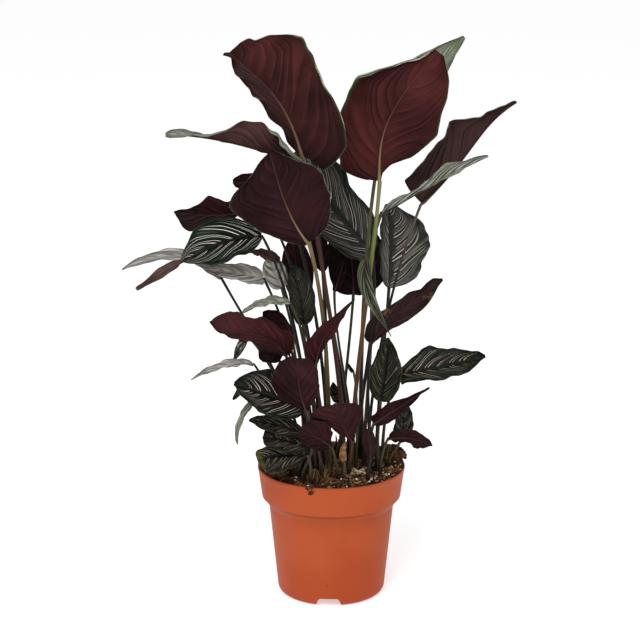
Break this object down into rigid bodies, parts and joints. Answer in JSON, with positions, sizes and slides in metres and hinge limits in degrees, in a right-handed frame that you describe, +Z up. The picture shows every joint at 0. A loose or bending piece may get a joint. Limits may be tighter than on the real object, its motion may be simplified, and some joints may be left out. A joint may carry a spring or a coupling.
{
  "type": "potted calathea",
  "caption": "Potted calathea with striped green leaves, burgundy undersides and slender petioles, in a round banded nursery pot filled with soil.",
  "frame": {"origin": "centre of the pot's base, on the ground", "axes": "+Z up along the pot's axis, the front of the plant, where the tall leaves show their burgundy undersides, faces -Y"},
  "size_m": [0.4971, 0.2625, 0.7388],
  "materials": {
    "pot_plastic": "satin",
    "soil": "matte",
    "leaf_burgundy": "satin",
    "leaf_green": "satin",
    "leaf_pale": "satin",
    "dry_husk": "matte"
  },
  "bodies": {
    "root": {"leaf_back_striped": "leaf_green", "leaf_big_left": "leaf_burgundy", "leaf_brown_small": "leaf_burgundy", "leaf_centre_hanging": "leaf_pale", "leaf_crown_behind": "leaf_green", "leaf_crown_left": "leaf_burgundy", "leaf_crown_right": "leaf_burgundy", "leaf_dark_behind": "leaf_burgundy", "leaf_dark_right": "leaf_burgundy", "leaf_dark_sheath": "leaf_burgundy", "leaf_dry_husk": "dry_husk", "leaf_far_left": "leaf_green", "leaf_green_right": "leaf_green", "leaf_inner_hanging": "leaf_green", "leaf_inner_small": "leaf_green", "leaf_left_dark": "leaf_burgundy", "leaf_left_peek": "leaf_burgundy", "leaf_left_striped": "leaf_green", "leaf_long_burgundy": "leaf_burgundy", "leaf_low_centre": "leaf_burgundy", "leaf_low_front": "leaf_burgundy", "leaf_low_right": "leaf_burgundy", "leaf_low_striped": "leaf_green", "leaf_low_tip": "leaf_burgundy", "leaf_pale_fold": "leaf_pale", "leaf_pale_upright": "leaf_pale", "leaf_pointed_burgundy": "leaf_burgundy", "leaf_right_blade": "leaf_burgundy", "leaf_right_folded": "leaf_green", "leaf_right_round": "leaf_green", "leaf_right_striped": "leaf_green", "leaf_rim_lower": "leaf_green", "leaf_rim_middle": "leaf_green", "leaf_rim_upper": "leaf_green", "leaf_round_burgundy": "leaf_burgundy", "leaf_shade_back": "leaf_burgundy", "leaf_shade_inner": "leaf_burgundy", "leaf_shade_left": "leaf_burgundy", "leaf_shade_mid": "leaf_burgundy", "leaf_small_right": "leaf_burgundy", "leaf_small_striped": "leaf_green", "leaf_sprout": "leaf_green", "leaf_thin_drop": "leaf_green", "leaf_thin_hanging": "leaf_green", "leaf_thin_left": "leaf_pale", "leaf_thin_low": "leaf_pale", "leaf_tip_small": "leaf_green", "leaf_upper_left": "leaf_burgundy", "pot": "pot_plastic", "soil": "soil"}
  },
  "joints": []
}
